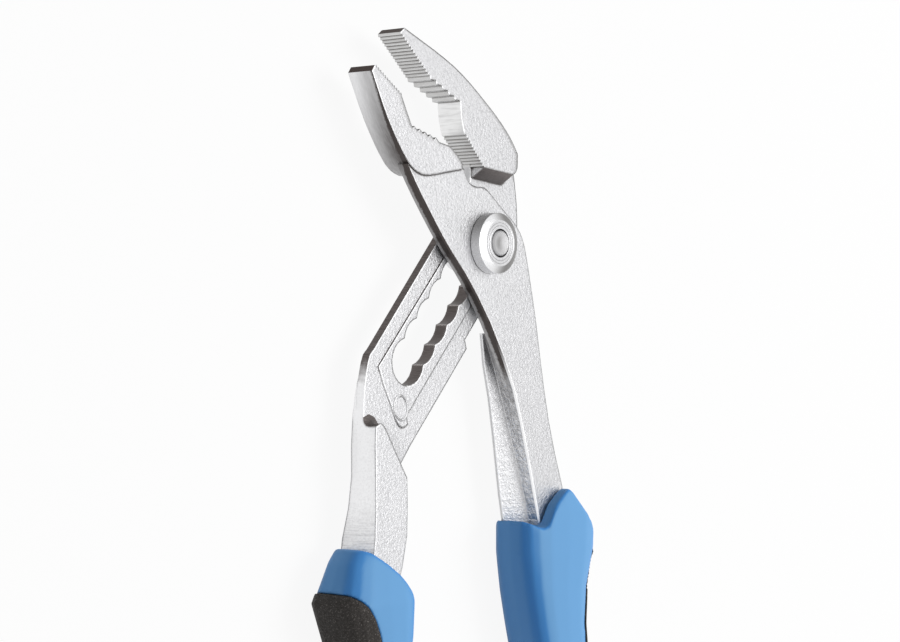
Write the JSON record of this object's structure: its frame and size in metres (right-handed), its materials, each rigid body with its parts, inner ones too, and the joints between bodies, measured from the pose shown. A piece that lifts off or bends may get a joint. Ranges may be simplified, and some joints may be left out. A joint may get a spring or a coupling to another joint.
{
  "type": "water pump pliers",
  "caption": "Slip-joint water pump pliers with toothed jaws, a scalloped slot locked by a push-button pivot, and two-colour grip sleeves for gripping pipes and nuts.",
  "frame": {"origin": "on the pivot axis, at the centre of the pivot's flat rear face", "axes": "+Y towards the jaw tips, +Z out of the button side along the pivot axis, +X to the right seen from the button side"},
  "size_m": [0.1263, 0.2507, 0.0168],
  "materials": {
    "forged_chrome": "satin chrome over a drop-forged skin",
    "turned_steel": "turned with fine rings",
    "dark_steel": "hardened, oiled",
    "blue_grip": "satin moulded",
    "dark_inlay": "fine grain, soft"
  },
  "bodies": {
    "slotted_arm": {"slotted_arm": "forged_chrome", "slotted_grip_sleeve": "blue_grip", "slotted_grip_inlay": "dark_inlay"},
    "pivot_washer": {"thrust_washer": "turned_steel"},
    "front_arm": {"front_arm": "forged_chrome", "pivot_bolt": "turned_steel", "rear_cap": "turned_steel", "return_spring": "dark_steel", "front_grip_sleeve": "blue_grip", "front_grip_inlay": "dark_inlay"},
    "push_button": {"push_button": "turned_steel", "locking_collar": "dark_steel", "cross_pin": "dark_steel"}
  },
  "joints": [
    {"name": "slot_slide", "type": "slide", "parent": "slotted_arm", "child": "pivot_washer", "axis": [-0.6801, -0.7331, 0], "range_m": [0, 0.0399]},
    {"name": "arm_hinge", "type": "hinge", "parent": "pivot_washer", "child": "front_arm", "pos_m": [0, 0, 0], "axis": [0, 0, 1], "range_deg": [-11.5, 22]},
    {"name": "button_press", "type": "slide", "parent": "front_arm", "child": "push_button", "axis": [0, 0, -1], "range_m": [0, 0.0026], "stiffness_N_per_m": 1500, "deforming": ["return_spring"]}
  ]
}
